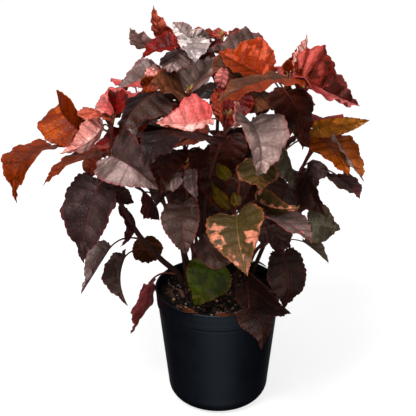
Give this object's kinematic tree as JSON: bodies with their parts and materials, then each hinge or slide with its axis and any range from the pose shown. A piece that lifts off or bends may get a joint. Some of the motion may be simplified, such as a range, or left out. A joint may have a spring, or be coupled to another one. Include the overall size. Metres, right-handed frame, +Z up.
{
  "type": "potted copperleaf",
  "caption": "Bushy copperleaf plant with heart-shaped, toothed leaves in copper, red, pink and dark purple, growing from soil in a round black nursery pot.",
  "frame": {"origin": "middle of the pot's flat foot, on the surface that it stands on", "axes": "+Z up; -Y towards the side that the picture shows; +X to that side's right"},
  "size_m": [0.5441, 0.5237, 0.628],
  "materials": {
    "pot": "satin black, moulded, with faint ridges under the rim",
    "soil": "moist peat and bark mix",
    "stem_left": "soft satin leaf, veined",
    "stem_inner": "soft satin leaf, veined",
    "stem_crown": "soft satin leaf, veined",
    "stem_heart": "soft satin leaf, veined",
    "stem_young": "soft satin leaf, veined",
    "stem_front": "soft satin leaf, veined",
    "stem_high": "soft satin leaf, veined",
    "stem_east": "soft satin leaf, veined",
    "stem_low": "soft satin leaf, veined",
    "stem_backleft": "soft satin leaf, veined",
    "stem_backmid": "soft satin leaf, veined",
    "stem_backright": "soft satin leaf, veined",
    "stem_backlow": "soft satin leaf, veined"
  },
  "bodies": {
    "root": {"pot": "pot", "soil": "soil", "stem_left": "stem_left", "stem_inner": "stem_inner", "stem_crown": "stem_crown", "stem_heart": "stem_heart", "stem_young": "stem_young", "stem_front": "stem_front", "stem_high": "stem_high", "stem_east": "stem_east", "stem_low": "stem_low", "stem_backleft": "stem_backleft", "stem_backmid": "stem_backmid", "stem_backright": "stem_backright", "stem_backlow": "stem_backlow"}
  },
  "joints": []
}
